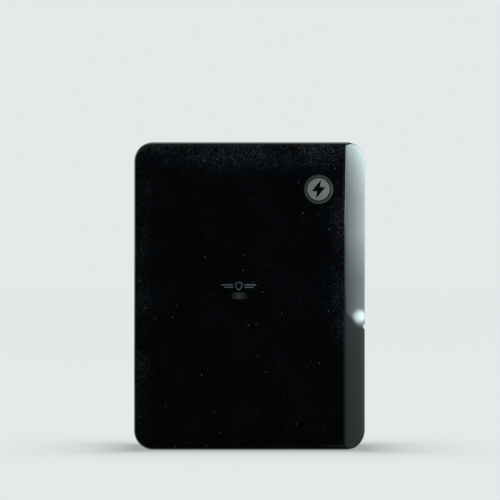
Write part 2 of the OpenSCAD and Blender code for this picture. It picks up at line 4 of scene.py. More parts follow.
import bmesh
import bpy
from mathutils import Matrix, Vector


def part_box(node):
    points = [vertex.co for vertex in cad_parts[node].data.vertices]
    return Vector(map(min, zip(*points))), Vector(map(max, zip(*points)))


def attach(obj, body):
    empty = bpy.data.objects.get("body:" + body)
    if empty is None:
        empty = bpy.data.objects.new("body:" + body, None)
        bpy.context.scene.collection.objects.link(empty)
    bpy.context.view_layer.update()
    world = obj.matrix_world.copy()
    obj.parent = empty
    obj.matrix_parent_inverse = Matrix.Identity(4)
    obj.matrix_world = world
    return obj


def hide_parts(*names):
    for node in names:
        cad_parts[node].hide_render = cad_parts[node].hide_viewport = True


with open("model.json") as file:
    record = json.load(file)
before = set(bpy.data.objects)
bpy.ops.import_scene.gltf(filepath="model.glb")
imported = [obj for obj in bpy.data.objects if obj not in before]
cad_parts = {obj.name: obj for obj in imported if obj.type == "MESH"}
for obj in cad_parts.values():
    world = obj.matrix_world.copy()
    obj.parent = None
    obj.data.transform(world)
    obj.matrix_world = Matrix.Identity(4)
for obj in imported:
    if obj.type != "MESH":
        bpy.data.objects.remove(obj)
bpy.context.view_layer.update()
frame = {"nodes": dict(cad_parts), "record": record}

nodes = frame["nodes"]
scene = bpy.context.scene
MM = 0.001
MICRON = 1e-6

SIDES = ("left", "right")
ROWS = ("top", "middle", "bottom")

shell_low, shell_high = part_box("rear_housing")
front_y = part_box("front_cover")[0].y
floor_z = shell_low.z
half_w = shell_high.x
lens_low, lens_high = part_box("indicator_lens")
lens_centre = (lens_low + lens_high) / 2
badge_low, badge_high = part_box("badge")
badge_centre = (badge_low + badge_high) / 2

# ---------- camera, floor and light ----------

IMAGE_SPAN = 0.2474         # what the picture spans across, at the front face
CAMERA_DISTANCE = 1.5       # from the front face
CAMERA_ASIDE, CAMERA_UP = 0.18 * MM, 22.77 * MM
SENSOR = 36.0               # mm


def make_camera():
    data = bpy.data.cameras.new("camera")
    data.sensor_width = SENSOR
    data.lens = SENSOR * CAMERA_DISTANCE / IMAGE_SPAN
    data.clip_start, data.clip_end = 0.05, 20
    cam = bpy.data.objects.new("camera", data)
    scene.collection.objects.link(cam)
    cam.location = (CAMERA_ASIDE, front_y - CAMERA_DISTANCE, CAMERA_UP)
    cam.rotation_euler = (math.pi / 2, 0, 0)
    scene.camera = cam


def new_object(name, mesh, material):
    obj = bpy.data.objects.new(name, mesh)
    scene.collection.objects.link(obj)
    mesh.materials.append(material)
    return obj


def grid_card(name, across, up, place, glow, tint=(1, 1, 1)):
    """A lit card: place(a, b) is a point on it and glow(a, b) its brightness, for a and b from 0 to 1."""
    mesh = bpy.data.meshes.new(name)
    row = across + 1
    spots = [(i / across, j / up) for j in range(up + 1) for i in range(row)]
    starts = [j * row + i for j in range(up) for i in range(across)]
    mesh.from_pydata([place(a, b) for a, b in spots], [], [(n, n + 1, n + row + 1, n + row) for n in starts])
    values = mesh.attributes.new("glow", "FLOAT", "POINT")
    values.data.foreach_set("value", [glow(a, b) for a, b in spots])
    material = bpy.data.materials.new(name)
    material.use_nodes = True
    tree = material.node_tree
    tree.nodes.clear()
    attribute = tree.nodes.new("ShaderNodeAttribute")
    attribute.attribute_name = "glow"
    emission = tree.nodes.new("ShaderNodeEmission")
    emission.inputs["Color"].default_value = (*tint, 1)
    output = tree.nodes.new("ShaderNodeOutputMaterial")
    tree.links.new(attribute.outputs["Fac"], emission.inputs["Strength"])
    tree.links.new(emission.outputs[0], output.inputs["Surface"])
    card = new_object(name, mesh, material)
    card.visible_camera = False
    card.visible_shadow = False


def along(x, table):
    """The value at x of a line through the table's points."""
    if x <= table[0][0]:
        return table[0][1]
    for (x0, y0), (x1, y1) in zip(table, table[1:]):
        if x <= x1:
            return y0 + (y1 - y0) * (x - x0) / (x1 - x0)
    return table[-1][1]


# The key light is a tall curved wall of light to the right, brightest near its top. Its lit part ends in a
# crisp lower edge, under which it only glows faintly. Two small lamps burn just above that edge. Turns are in
# degrees from the camera's side, towards the right, and heights in metres above the object's middle.
KEY_RADIUS = 0.75
KEY_MIDDLE = Vector((half_w - 7 * MM, -30 * MM, 0))         # inside the front's right shoulder
KEY_FROM, KEY_TO = 12, 126
KEY_LOW, KEY_HIGH = -0.26, 0.42
KEY_GRID = (76, 680)
KEY_TINT = (0.82, 1.0, 0.985)
KEY_SOFT = 0.0015           # height over which the lit part fades at its lower edge
KEY_EDGE = (                # turn, height of the lower edge
    (12, -0.0195), (22, -0.0222), (42, -0.0262), (60, -0.0294), (78, -0.0327), (95, -0.0335), (112, -0.0345),
    (126, -0.036))
KEY_HEIGHTS = (             # height, brightness of the lit part
    (-0.035, 3.1), (0.0, 3.1), (0.018, 4.4), (0.035, 6.0), (0.06, 6.3), (0.075, 7.6), (0.088, 9.6),
    (0.096, 12.5), (0.104, 19), (0.12, 19), (0.132, 3), (0.15, 0.7), (0.42, 0.45))
KEY_FAINT = (               # height, brightness under the lower edge
    (-0.2, 0.48), (-0.12, 0.5), (-0.05, 0.66), (-0.03, 0.72))
KEY_TURNS = (               # turn, share of that brightness
    (12, 0.0), (17, 0.06), (22, 0.3), (27, 0.45), (35, 0.57), (45, 0.72), (57, 0.8), (72, 0.95), (92, 1.0),
    (105, 0.9), (126, 0.8))
LAMPS = (                   # turn, height, their spreads, strength
    (92, -0.0265, 33, 0.0043, 11.5), (120, -0.0347, 9, 0.0017, 8))


def key_light():
    """The tall curved wall of light and its two lamps, as one card."""
    def turn_and_height(a, b):
        return KEY_FROM + (KEY_TO - KEY_FROM) * a, KEY_LOW + (KEY_HIGH - KEY_LOW) * b

    def place(a, b):
        turn, height = turn_and_height(a, b)
        ahead, aside = KEY_RADIUS * math.cos(math.radians(turn)), KEY_RADIUS * math.sin(math.radians(turn))
        return KEY_MIDDLE + Vector((aside, -ahead, height))

    def glow(a, b):
        turn, height = turn_and_height(a, b)
        lit = min(1, max(0, (height - along(turn, KEY_EDGE)) / KEY_SOFT + 0.5))
        bright = along(height, KEY_HEIGHTS) * along(turn, KEY_TURNS)
        for lamp_turn, lamp_height, wide, tall, strength in LAMPS:
            away = ((turn - lamp_turn) / wide) ** 2 + ((height - lamp_height) / tall) ** 2
            bright += strength * math.exp(-away ** 2)
        faint = along(height, KEY_FAINT) * min(1, 0.3 + along(turn, KEY_TURNS))
        return lit * bright + (1 - lit) * faint

    grid_card("key_light", *KEY_GRID, place, glow, KEY_TINT)


SOFT_BOXES = (              # name, middle, size, brightness
    ("left_back_light", (-0.75, 0.45, 0.25), 0.7, 2.1),
    ("right_back_light", (0.35, 0.85, 0.3), 0.6, 2.2),
    ("top_light", (-0.1, 0.35, 0.95), 0.8, 1.6))
SOFT_BOX_GRID = 20
SOFT_BOX_RIM = 0.2          # share of its size over which a soft box fades towards its edge


def soft_box(name, middle, size, brightness):
    """A square lamp that faces the object, brighter in its middle."""
    centre = Vector(middle)
    facing = -centre.normalized()
    side = facing.cross(Vector((0, 0, 1))).normalized()
    rise = side.cross(facing)

    def place(a, b):
        return centre + side * (a - 0.5) * size + rise * (b - 0.5) * size

    def glow(a, b):
        return brightness * min(a, 1 - a, SOFT_BOX_RIM) * min(b, 1 - b, SOFT_BOX_RIM) / SOFT_BOX_RIM ** 2

    grid_card(name, SOFT_BOX_GRID, SOFT_BOX_GRID, place, glow)


def wire(tree, target, value):
    """Links an input socket to another node's output, or sets it to a plain value."""
    if isinstance(value, bpy.types.NodeSocket):
        tree.links.new(value, target)
    else:
        target.default_value = value


def calculated(tree, operation, *values):
    """The result of a Math node on plain values or other nodes' outputs."""
    node = tree.nodes.new("ShaderNodeMath")
    node.operation = operation
    for target, value in zip(node.inputs, values):
        wire(tree, target, value)
    return node.outputs[0]


def mapped(tree, value, low, high, to_low=0.0, to_high=1.0, smooth=True):
    """Maps a value from one range to another and holds it at the ends."""
    node = tree.nodes.new("ShaderNodeMapRange")
    node.interpolation_type = "SMOOTHSTEP" if smooth else "LINEAR"
    wire(tree, node.inputs["Value"], value)
    for key, number in (("From Min", low), ("From Max", high), ("To Min", to_low), ("To Max", to_high)):
        wire(tree, node.inputs[key], number)
    return node.outputs[0]


PALE = (0.78, 0.808, 0.812, 1)
WORLD_FRONT, WORLD_BACK = 0.012, 0.5
WORLD_TOP = 0.13            # added overhead
FRONT_ENDS, BACK_BEGINS = -0.4, 0.6         # how far a direction points to the back, from -1 to 1
TOP_BEGINS, TOP_FULL = 0.1, 0.7             # and how far up


def pale_world():
    """Pale to the camera. For light and reflections, dark in front of the object and brighter behind it."""
    world = bpy.data.worlds.new("studio")
    scene.world = world
    world.use_nodes = True
    tree = world.node_tree
    tree.nodes.clear()
    new, link = tree.nodes.new, tree.links.new
    coords = new("ShaderNodeTexCoord")
    split = new("ShaderNodeSeparateXYZ")
    link(coords.outputs["Generated"], split.inputs[0])
    behind = mapped(tree, split.outputs["Y"], FRONT_ENDS, BACK_BEGINS, WORLD_FRONT, WORLD_BACK)
    above = mapped(tree, split.outputs["Z"], TOP_BEGINS, TOP_FULL, 0, WORLD_TOP)
    dim = new("ShaderNodeBackground")
    link(calculated(tree, "ADD", behind, above), dim.inputs["Strength"])
    pale = new("ShaderNodeBackground")
    pale.inputs["Color"].default_value = PALE
    path = new("ShaderNodeLightPath")
    mix = new("ShaderNodeMixShader")
    link(path.outputs["Is Camera Ray"], mix.inputs[0])
    link(dim.outputs[0], mix.inputs[1])
    link(pale.outputs[0], mix.inputs[2])
    output = new("ShaderNodeOutputWorld")
    link(mix.outputs[0], output.inputs["Surface"])


FLOOR_HALF = 6              # half of its side
FLOOR_GAP = 0.2 * MM        # keeps the floor from sharing a plane with the casing
FLOOR_GLOW = 0.99
FLOOR_COLOUR = (0.02, 0.02, 0.02, 1)
SHADOW_REACH = 22 * MM
SHADOW_DEPTH = 0.5


def pale_floor():
    """A plain pale floor that glows, with a painted shadow that darkens it softly where the object stands on
    it.
    """
    n, z = FLOOR_HALF, floor_z - FLOOR_GAP
    mesh = bpy.data.meshes.new("floor")
    mesh.from_pydata([(-n, -n, z), (n, -n, z), (n, n, z), (-n, n, z)], [], [(0, 1, 2, 3)])
    material = bpy.data.materials.new("floor")
    material.use_nodes = True
    tree = material.node_tree
    bsdf = tree.nodes["Principled BSDF"]
    bsdf.inputs["Base Color"].default_value = FLOOR_COLOUR
    bsdf.inputs["Roughness"].default_value = 0.9
    bsdf.inputs["Specular IOR Level"].default_value = 0
    bsdf.inputs["Emission Color"].default_value = PALE
    split = tree.nodes.new("ShaderNodeSeparateXYZ")
    tree.links.new(tree.nodes.new("ShaderNodeTexCoord").outputs["Object"], split.inputs[0])
    # painted shadow: the floor's glow is lowered near the object's footprint
    half_depth = (shell_high.y - front_y) / 2
    away = []
    for axis, middle, half in (("X", 0, half_w), ("Y", front_y + half_depth, half_depth)):
        from_middle = calculated(tree, "ABSOLUTE", calculated(tree, "SUBTRACT", split.outputs[axis], middle))
        past = calculated(tree, "MAXIMUM", calculated(tree, "SUBTRACT", from_middle, half), 0)
        away.append(calculated(tree, "POWER", past, 2))
    distance = calculated(tree, "SQRT", calculated(tree, "ADD", *away))
    painted_shadow = calculated(tree, "EXPONENT", calculated(tree, "MULTIPLY", distance, -1 / SHADOW_REACH))
    lit = calculated(tree, "SUBTRACT", FLOOR_GLOW, calculated(tree, "MULTIPLY", painted_shadow, SHADOW_DEPTH))
    tree.links.new(lit, bsdf.inputs["Emission Strength"])
    floor = new_object("floor", mesh, material)
    floor.visible_glossy = False


make_camera()
key_light()
for box in SOFT_BOXES:
    soft_box(*box)
pale_world()
pale_floor()
scene.view_settings.view_transform = "Standard"

# ---------- materials ----------

TINNED = (0.6, 0.6, 0.6)
COLOUR_A, COLOUR_B, COLOUR_OUT = 6, 7, 2        # a Mix node's sockets for colours


class Finish:
    """A material under construction. Patterns are in metres, in the object's own frame."""

    def __init__(self, name, colour, roughness, metallic=0.0, ior=1.5):
        self.material = bpy.data.materials.new(name)
        self.material.use_nodes = True
        self.material.diffuse_color = (*colour, 1)
        self.tree = self.material.node_tree
        self.bsdf = self.tree.nodes["Principled BSDF"]
        self.place = self.new("ShaderNodeTexCoord").outputs["Object"]
        self.colour = (*colour, 1)
        self.normal = None
        for socket, value in (("Base Color", self.colour), ("Roughness", roughness), ("Metallic", metallic),
                              ("IOR", ior)):
            self.bsdf.inputs[socket].default_value = value

    def new(self, kind, **properties):
        node = self.tree.nodes.new(kind)
        for key, value in properties.items():
            setattr(node, key, value)
        return node

    def link(self, output, target):
        self.tree.links.new(output, target)

    def math(self, operation, *values):
        return calculated(self.tree, operation, *values)

    def ramp(self, value, low, high, to_low=0.0, to_high=1.0, smooth=True):
        return mapped(self.tree, value, low, high, to_low, to_high, smooth)

    def away_from(self, value, middle):
        """How far a coordinate is from a place on its axis."""
        return self.math("ABSOLUTE", self.math("SUBTRACT", value, middle))

    def axes(self):
        node = self.new("ShaderNodeSeparateXYZ")
        self.link(self.place, node.inputs[0])
        return node.outputs

    def combined(self, x, y=None):
        node = self.new("ShaderNodeCombineXYZ")
        self.link(x, node.inputs[0])
        if y is not None:
            self.link(y, node.inputs[1])
        return node.outputs[0]

    def stretched(self, scale):
        node = self.new("ShaderNodeMapping")
        self.link(self.place, node.inputs["Vector"])
        node.inputs["Scale"].default_value = scale
        return node.outputs[0]

    def noise(self, size, detail=2.0, vector=None, rough=0.5):
        """Cloudy noise with features of about that size, from 0 to 1."""
        node = self.new("ShaderNodeTexNoise")
        self.link(vector or self.place, node.inputs["Vector"])
        node.inputs["Scale"].default_value = 1 / size
        node.inputs["Detail"].default_value = detail
        node.inputs["Roughness"].default_value = rough
        return node.outputs["Fac"]

    def cells(self, size):
        """Cells of about that size: the distance to each one's middle, and two random values for it."""
        node = self.new("ShaderNodeTexVoronoi")
        self.link(self.place, node.inputs["Vector"])
        node.inputs["Scale"].default_value = 1 / size
        pick = self.new("ShaderNodeSeparateColor")
        self.link(node.outputs["Color"], pick.inputs[0])
        return node.outputs["Distance"], pick.outputs[0], pick.outputs[1]

    def specks(self, size, share, radius):
        """A mask of round specks in that share of the cells. The radius is a share of the cell's size."""
        distance, first, second = self.cells(size)
        chosen = self.math("LESS_THAN", first, share)
        reach = self.math("MULTIPLY_ADD", second, radius, radius * 0.3)
        inside = self.ramp(distance, self.math("MULTIPLY", reach, 0.4), reach, 1, 0)
        return self.math("MULTIPLY", chosen, inside)

    def grains(self, size):
        """A mask of dust: a grain in each cell, few of them bright."""
        distance, bright, _ = self.cells(size)
        return self.math("MULTIPLY", self.ramp(distance, 0.1, 0.55, 1, 0), self.math("POWER", bright, 3))

    def tint(self, factor, colour):
        """Mixes a colour into the base where factor is 1."""
        node = self.new("ShaderNodeMix", data_type="RGBA")
        wire(self.tree, node.inputs["Factor"], factor)
        wire(self.tree, node.inputs[COLOUR_A], self.colour)
        wire(self.tree, node.inputs[COLOUR_B], (*colour, 1))
        self.colour = node.outputs[COLOUR_OUT]
        self.link(self.colour, self.bsdf.inputs["Base Color"])

    def rough(self, factor, low, high):
        """Lets the roughness follow a pattern, between low and high."""
        self.link(self.ramp(factor, 0.25, 0.75, low, high, smooth=False), self.bsdf.inputs["Roughness"])

    def bump(self, height, depth):
        """Raises the surface by up to depth, in metres."""
        node = self.new("ShaderNodeBump")
        node.inputs["Distance"].default_value = depth
        node.inputs["Strength"].default_value = 1
        self.link(height, node.inputs["Height"])
        if self.normal is not None:
            self.link(self.normal, node.inputs["Normal"])
        self.normal = node.outputs[0]
        self.link(self.normal, self.bsdf.inputs["Normal"])


def scaled(colour, factor):
    return tuple(c * factor for c in colour)


def casing_finish():
    """Glossy moulded plastic that has been handled: a thin film of fine dust, thicker towards the top and
    both sides of the front, where it also paints sheen on the top, the left edge and the upper right
    shoulder, and scattered bright specks."""
    f = Finish("casing", (0.0002, 0.0008, 0.0017), 0.014, ior=1.58)
    x, _, z = f.axes()
    f.rough(f.noise(30 * MM, 3), 0.014, 0.032)
    f.bump(f.noise(0.6 * MM, 1), 0.15 * MICRON)
    f.bump(f.noise(20 * MM, 1), 5 * MICRON)
    # painted sheen: the dust film is made thicker and lighter at the top, near the left edge and on the upper
    # right shoulder
    top = f.ramp(f.math("SUBTRACT", shell_high.z, z), 3 * MM, 17 * MM, 1, 0.12)
    left = f.ramp(f.math("ADD", x, half_w), 0, 15 * MM, 0.5, 0)
    by_shoulder = f.ramp(f.away_from(x, half_w - 12 * MM), 0, 9 * MM, 0.7, 0)
    right = f.math("MULTIPLY", by_shoulder, f.ramp(z, -45 * MM, -8 * MM, 0.12, 1))
    cloud = f.ramp(f.noise(16 * MM, 4), 0.34, 0.64, 0.3, 1)
    dust_and_sheen = f.math("MULTIPLY", f.math("MAXIMUM", f.math("MAXIMUM", left, right), top), cloud)
    haze = f.ramp(f.noise(1.6 * MM, 8, rough=0.95), 0.4, 0.76)
    # dust grains and haze, laid through the film that also paints sheen
    for dust_and_painted_light, colour in ((haze, (0.03, 0.036, 0.04)), (f.grains(0.85 * MM), (0.115, 0.085, 0.08)),
                         (f.grains(0.7 * MM), (0.04, 0.085, 0.095))):
        f.tint(f.math("MULTIPLY", dust_and_painted_light, dust_and_sheen), colour)
    f.tint(f.specks(3.2 * MM, 0.8, 0.085), (0.03, 0.033, 0.034))
    f.tint(f.specks(6.2 * MM, 0.9, 0.075), (0.15, 0.165, 0.16))
    return f.material


def moulded_finish(name, colour, low, high, light=None):
    """Satin plastic from a spark-eroded mould: an even fine grain."""
    f = Finish(name, colour, low)
    cloud = f.noise(12 * MM, 3)
    f.rough(cloud, low, high)
    f.tint(f.ramp(cloud, 0.35, 0.7), light or scaled(colour, 1.5))
    f.bump(f.noise(0.25 * MM), 3 * MICRON)
    f.bump(f.noise(6 * MM), 6 * MICRON)
    return f.material


def drawn_metal(name, colour, low, high, stretch, tarnish, cloud_size=6 * MM):
    """Drawn or rolled metal: fine lines along one direction, uneven gloss and light tarnish."""
    f = Finish(name, colour, low, metallic=1.0)
    lines = f.noise(0.4 * MM, 3, f.stretched(stretch))
    cloud = f.noise(cloud_size, 4)
    f.rough(f.math("MULTIPLY_ADD", lines, 0.5, f.math("MULTIPLY", cloud, 0.5)), low, high)
    f.tint(f.ramp(cloud, 0.45, 0.8), tarnish)
    f.bump(lines, 1.5 * MICRON)
    return f


def brass_finish():
    brass, tarnish = (0.72, 0.48, 0.19), (0.42, 0.25, 0.1)
    return drawn_metal("brass_strip", brass, 0.22, 0.42, (1, 1, 0.06), tarnish).material


def nickel_finish():
    nickel = (0.66, 0.63, 0.58)
    return drawn_metal("nickel_plate", nickel, 0.18, 0.36, (1, 0.06, 1), scaled(nickel, 0.72)).material


RECESS_DEPTH = 1 * MM


def screw_finish():
    """Zinc-plated steel, with painted shade on the floor of the recess in each head that shows at the back.
    """
    recess_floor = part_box("housing_screws")[1].y - RECESS_DEPTH
    f = drawn_metal("steel", (0.5, 0.5, 0.51), 0.2, 0.42, (1, 0.2, 1), (0.36, 0.355, 0.35), 3 * MM)
    # painted shade: the floor of each head's recess is darkened
    dust_and_painted_light = f.ramp(f.away_from(f.axes()[1], recess_floor), 0.2 * MM, 0.75 * MM, 1, 0)
    f.tint(dust_and_painted_light, (0.05, 0.048, 0.045))
    return f.material


def board_finish():
    """Green solder mask over copper tracks that show as a lighter green."""
    f = Finish("circuit_board", (0.012, 0.075, 0.03), 0.3)
    x, _, z = f.axes()
    tracks = f.new("ShaderNodeTexBrick", offset=0.5)
    f.link(f.combined(x, z), tracks.inputs["Vector"])
    for socket, value in (("Scale", 1), ("Brick Width", 16 * MM), ("Row Height", 4.2 * MM),
                          ("Mortar Size", 0.6 * MM), ("Mortar Smooth", 0.1)):
        tracks.inputs[socket].default_value = value
    copper = f.math("SUBTRACT", 1.0, tracks.outputs["Fac"])
    f.tint(copper, (0.025, 0.14, 0.055))
    f.tint(f.ramp(f.specks(7.5 * MM, 0.35, 0.12), 0.3, 0.5), (0.5, 0.48, 0.44))
    f.tint(f.ramp(f.noise(1.5 * MM), 0.55, 0.8), (0.01, 0.06, 0.024))
    f.rough(f.noise(4 * MM), 0.22, 0.4)
    f.bump(copper, 30 * MICRON)
    return f.material


def fibre_finish():
    """Vulcanised fibre: matt brown-grey with short fibres pressed into it."""
    f = Finish("fibre_sheet", (0.16, 0.115, 0.07), 0.75)
    fibres = f.noise(0.9 * MM, 4, f.stretched((1, 1, 0.16)))
    cross = f.noise(0.9 * MM, 4, f.stretched((1, 0.16, 1)))
    both = f.math("MULTIPLY_ADD", fibres, 0.5, f.math("MULTIPLY", cross, 0.5))
    f.tint(f.ramp(both, 0.4, 0.65), (0.24, 0.18, 0.115))
    f.tint(f.ramp(f.noise(14 * MM, 3), 0.5, 0.75), (0.12, 0.085, 0.05))
    f.rough(both, 0.6, 0.85)
    f.bump(both, 25 * MICRON)
    return f.material


BEZEL_FROM, BEZEL_TO = 5.7 * MM, 6.1 * MM       # radii between which the badge darkens to its bezel


def badge_finish():
    """Spun metal: fine rings about the badge's middle, and a darker bezel."""
    metal = (0.32, 0.345, 0.34)
    f = Finish("badge_metal", metal, 0.46, metallic=0.6)
    middle = f.new("ShaderNodeVectorMath", operation="SUBTRACT")
    f.link(f.place, middle.inputs[0])
    middle.inputs[1].default_value = badge_centre
    flat = f.new("ShaderNodeVectorMath", operation="MULTIPLY")
    f.link(middle.outputs[0], flat.inputs[0])
    flat.inputs[1].default_value = (1, 0, 1)
    length = f.new("ShaderNodeVectorMath", operation="LENGTH")
    f.link(flat.outputs[0], length.inputs[0])
    radius = length.outputs["Value"]
    rings = f.noise(0.12 * MM, 2, f.combined(radius))
    f.rough(rings, 0.46, 0.6)
    f.tint(f.ramp(rings, 0.3, 0.7), scaled(metal, 1.12))
    f.tint(f.ramp(f.noise(3 * MM, 3), 0.5, 0.8), scaled(metal, 0.88))
    f.tint(f.ramp(radius, BEZEL_FROM, BEZEL_TO), scaled(metal, 0.26))
    f.bump(rings, 2 * MICRON)
    return f.material


BANDS = (                       # how far from the body's middle, in mm, and the colour
    (-2.1, (0.35, 0.02, 0.01)),
    (-0.8, (0.05, 0.02, 0.35)),
    (0.5, (0.01, 0.01, 0.01)),
    (2.2, (0.6, 0.4, 0.08)))
CATHODE = 1.8 * MM              # how far the diode's band is from its body's middle


def resistor_finish():
    """Tan body with four painted bands, and tinned legs along X."""
    f = Finish("resistor_body", (0.52, 0.38, 0.22), 0.35)
    low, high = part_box("indicator_resistors")
    middle = (low.x + high.x) / 2
    x = f.axes()[0]
    for place, colour in BANDS:
        f.tint(f.ramp(f.away_from(x, middle + place * MM), 0.3 * MM, 0.36 * MM, 1, 0), colour)
    f.tint(f.ramp(f.away_from(x, middle), 3.2 * MM, 3.3 * MM), TINNED)
    f.rough(f.noise(2 * MM), 0.28, 0.45)
    f.bump(f.noise(0.8 * MM), 8 * MICRON)
    return f.material


def diode_finish():
    """Black body with a light band near one end, and tinned legs along X."""
    f = Finish("diode_body", (0.012, 0.012, 0.013), 0.35)
    low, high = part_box("indicator_diode")
    middle = (low.x + high.x) / 2
    x = f.axes()[0]
    f.tint(f.ramp(f.away_from(x, middle + CATHODE), 0.35 * MM, 0.4 * MM, 1, 0), TINNED)
    f.tint(f.ramp(f.away_from(x, middle), 2.5 * MM, 2.6 * MM), TINNED)
    f.rough(f.noise(2 * MM), 0.28, 0.45)
    f.bump(f.noise(0.8 * MM), 6 * MICRON)
    return f.material


def dipped_finish(name, colour, leg_y, low=0.2, high=0.36):
    """A dipped or wrapped part: uneven glossy coat, with tinned legs behind leg_y."""
    f = Finish(name, colour, low)
    cloud = f.noise(4 * MM, 3)
    f.tint(f.ramp(cloud, 0.4, 0.75), scaled(colour, 0.75))
    f.tint(f.ramp(f.axes()[1], leg_y - 0.05 * MM, leg_y), TINNED)
    f.rough(cloud, low, high)
    f.bump(f.noise(2.5 * MM), 40 * MICRON)
    return f.material


def coated_finish(name, colour, low=0.3, high=0.48):
    """Smooth insulation or enamel, slightly uneven."""
    f = Finish(name, colour, low)
    cloud = f.noise(5 * MM, 3)
    f.tint(f.ramp(cloud, 0.45, 0.8), scaled(colour, 0.8))
    f.rough(cloud, low, high)
    f.bump(f.noise(0.7 * MM), 6 * MICRON)
    return f.material


def lens_finish():
    """Smoked light pipe: dark and glossy, lighter towards its middle and its top."""
    f = Finish("lens", (0.003, 0.0034, 0.0034), 0.12, ior=1.49)
    x, _, z = f.axes()
    aside = f.away_from(x, lens_centre.x)
    rise = f.ramp(z, lens_centre.z - 1 * MM, lens_high.z - 0.8 * MM, 0.35, 1)
    f.tint(f.ramp(aside, 1.2 * MM, 4.3 * MM, 1, 0), (0.026, 0.029, 0.031))
    core = f.ramp(aside, 0, 1.7 * MM, 1, 0)
    f.tint(f.math("MULTIPLY", core, f.math("MULTIPLY", rise, 0.75)), (0.07, 0.077, 0.07))
    f.tint(f.ramp(f.noise(0.9 * MM), 0.55, 0.8), (0.012, 0.013, 0.013))
    f.rough(f.noise(2 * MM), 0.1, 0.2)
    f.bump(f.noise(1.2 * MM), 3 * MICRON)
    return f.material


LED_LENGTH = 5.6 * MM           # without its legs


def led_finish():
    """Clear green resin, with tinned legs behind it."""
    f = Finish("led", (0.32, 0.62, 0.34), 0.12)
    leg_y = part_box("indicator_led")[0].y + LED_LENGTH
    f.tint(f.ramp(f.noise(2 * MM), 0.4, 0.7), (0.22, 0.5, 0.25))
    f.tint(f.ramp(f.axes()[1], leg_y - 0.05 * MM, leg_y), TINNED)
    f.rough(f.noise(1 * MM), 0.1, 0.2)
    f.bump(f.noise(1 * MM, 1), 2 * MICRON)
    return f.material


FINISHES = {
    "casing": casing_finish(),
    "outlet_face": moulded_finish("outlet_face", (0.0085, 0.0087, 0.0093), 0.4, 0.52),
    "sliding_cover": moulded_finish("sliding_cover", (0.019, 0.0194, 0.0205), 0.28, 0.38),
    "badge_metal": badge_finish(),
    "lens": lens_finish(),
    "label": moulded_finish("label", (0.4, 0.405, 0.41), 0.38, 0.5, (0.46, 0.465, 0.47)),
    "insulator": moulded_finish("insulator", (0.02, 0.0205, 0.022), 0.42, 0.58),
    "fibre_sheet": fibre_finish(),
    "brass_strip": brass_finish(),
    "nickel_plate": nickel_finish(),
    "circuit_board": board_finish(),
    "blue_epoxy": dipped_finish("blue_epoxy", (0.02, 0.09, 0.36), -18.6 * MM),
    "fuse_body": dipped_finish("fuse_body", (0.62, 0.56, 0.44), -17.2 * MM, 0.3, 0.5),
    "yellow_film": dipped_finish("yellow_film", (0.6, 0.36, 0.03), -17.6 * MM, 0.25, 0.4),
    "resistor_body": resistor_finish(),
    "diode_body": diode_finish(),
    "led": led_finish(),
    "black_insulation": coated_finish("black_insulation", (0.014, 0.014, 0.015)),
    "white_insulation": coated_finish("white_insulation", (0.66, 0.65, 0.61)),
    "green_insulation": coated_finish("green_insulation", (0.02, 0.2, 0.06)),
    "enamel": coated_finish("enamel", (0.003, 0.0036, 0.0036), 0.14, 0.22),
    "print": moulded_finish("print", (0.066, 0.074, 0.078), 0.5, 0.62, (0.1, 0.112, 0.116)),
    "steel": screw_finish(),
}

slot_of = {row["node"]: row["material_slot"] for row in frame["record"]["subparts"]}
body_of = {node: body for body, members in frame["record"]["behaviour"]["bodies"].items() for node in members}
for name, node in nodes.items():
    node.data.materials.clear()
    node.data.materials.append(FINISHES[slot_of[name]])

# ---------- pieces with softened edges ----------

EDGE_ANGLE = math.radians(25)       # corners sharper than this are rounded
SHARP_ANGLE = math.radians(34)      # and shading stops at what is sharper than this
FLAT_ANGLE = math.radians(0.4)      # faces that meet at less than this are made one
ROUND_STEPS = 3
SKIN_DEPTH = 3.4 * MM               # edges further inside the casing than this stay as they are
LENS_MARGIN, BADGE_REACH = 1 * MM, 8 * MM       # how far around the lens and the badge corners stay crisp
SAME_POINT = 1 * MICRON
ENCLOSING = 4                       # the fewest faces that can enclose anything

OUTER_PARTS = (                     # node, how far its corners are rounded, in mm
    ("front_cover", 0.22), ("rear_housing", 0.22), ("plug_base", 0.3), ("line_blade", 0.16),
    ("neutral_blade", 0.16), ("ground_pin", 0.1), ("alignment_peg", 0.2), ("housing_screws", 0.12),
    ("indicator_lens", 0.14))
SMALL_PARTS = (
    ("indicator_led", 0.08), ("thermal_fuses", 0.08), ("indicator_diode", 0), ("indicator_resistors", 0))
PANEL_ROUNDING, COVER_ROUNDING = 0.25, 0.16     # the same, for the outlet panels and the safety covers


def to_mesh(bm, name):
    mesh = bpy.data.meshes.new(name)
    bm.to_mesh(mesh)
    bm.free()
    return mesh


def shaded(obj):
    """Smooth shading that stops at sharp edges and keeps flat faces flat."""
    obj.data.polygons.foreach_set("use_smooth", [True] * len(obj.data.polygons))
    obj.data.set_sharp_from_angle(angle=SHARP_ANGLE)
    weighted = obj.modifiers.new("weighted", "WEIGHTED_NORMAL")
    weighted.keep_sharp = True
    return obj


def add_piece(name, mesh, finish, body, stands_for=()):
    """Puts a new piece on its body, with its finish and the nodes that it stands for."""
    obj = shaded(new_object(name, mesh, FINISHES[finish]))
    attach(obj, body)
    if stands_for:
        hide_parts(*stands_for)


def deep_inside(point):
    """Whether a point lies further in than the casing's walls."""
    return (abs(point.x) < half_w - SKIN_DEPTH and abs(point.z) < shell_high.z - SKIN_DEPTH
            and front_y + SKIN_DEPTH < point.y < -SKIN_DEPTH)


def by_inset(point):
    """Whether a point lies at the recess of the badge or of the lens, whose edges stay crisp."""
    by_lens = (lens_low.x - LENS_MARGIN < point.x < lens_high.x + LENS_MARGIN
               and lens_low.z - LENS_MARGIN < point.z < lens_high.z + LENS_MARGIN)
    return by_lens or math.hypot(point.x - badge_centre.x, point.z - badge_centre.z) < BADGE_REACH


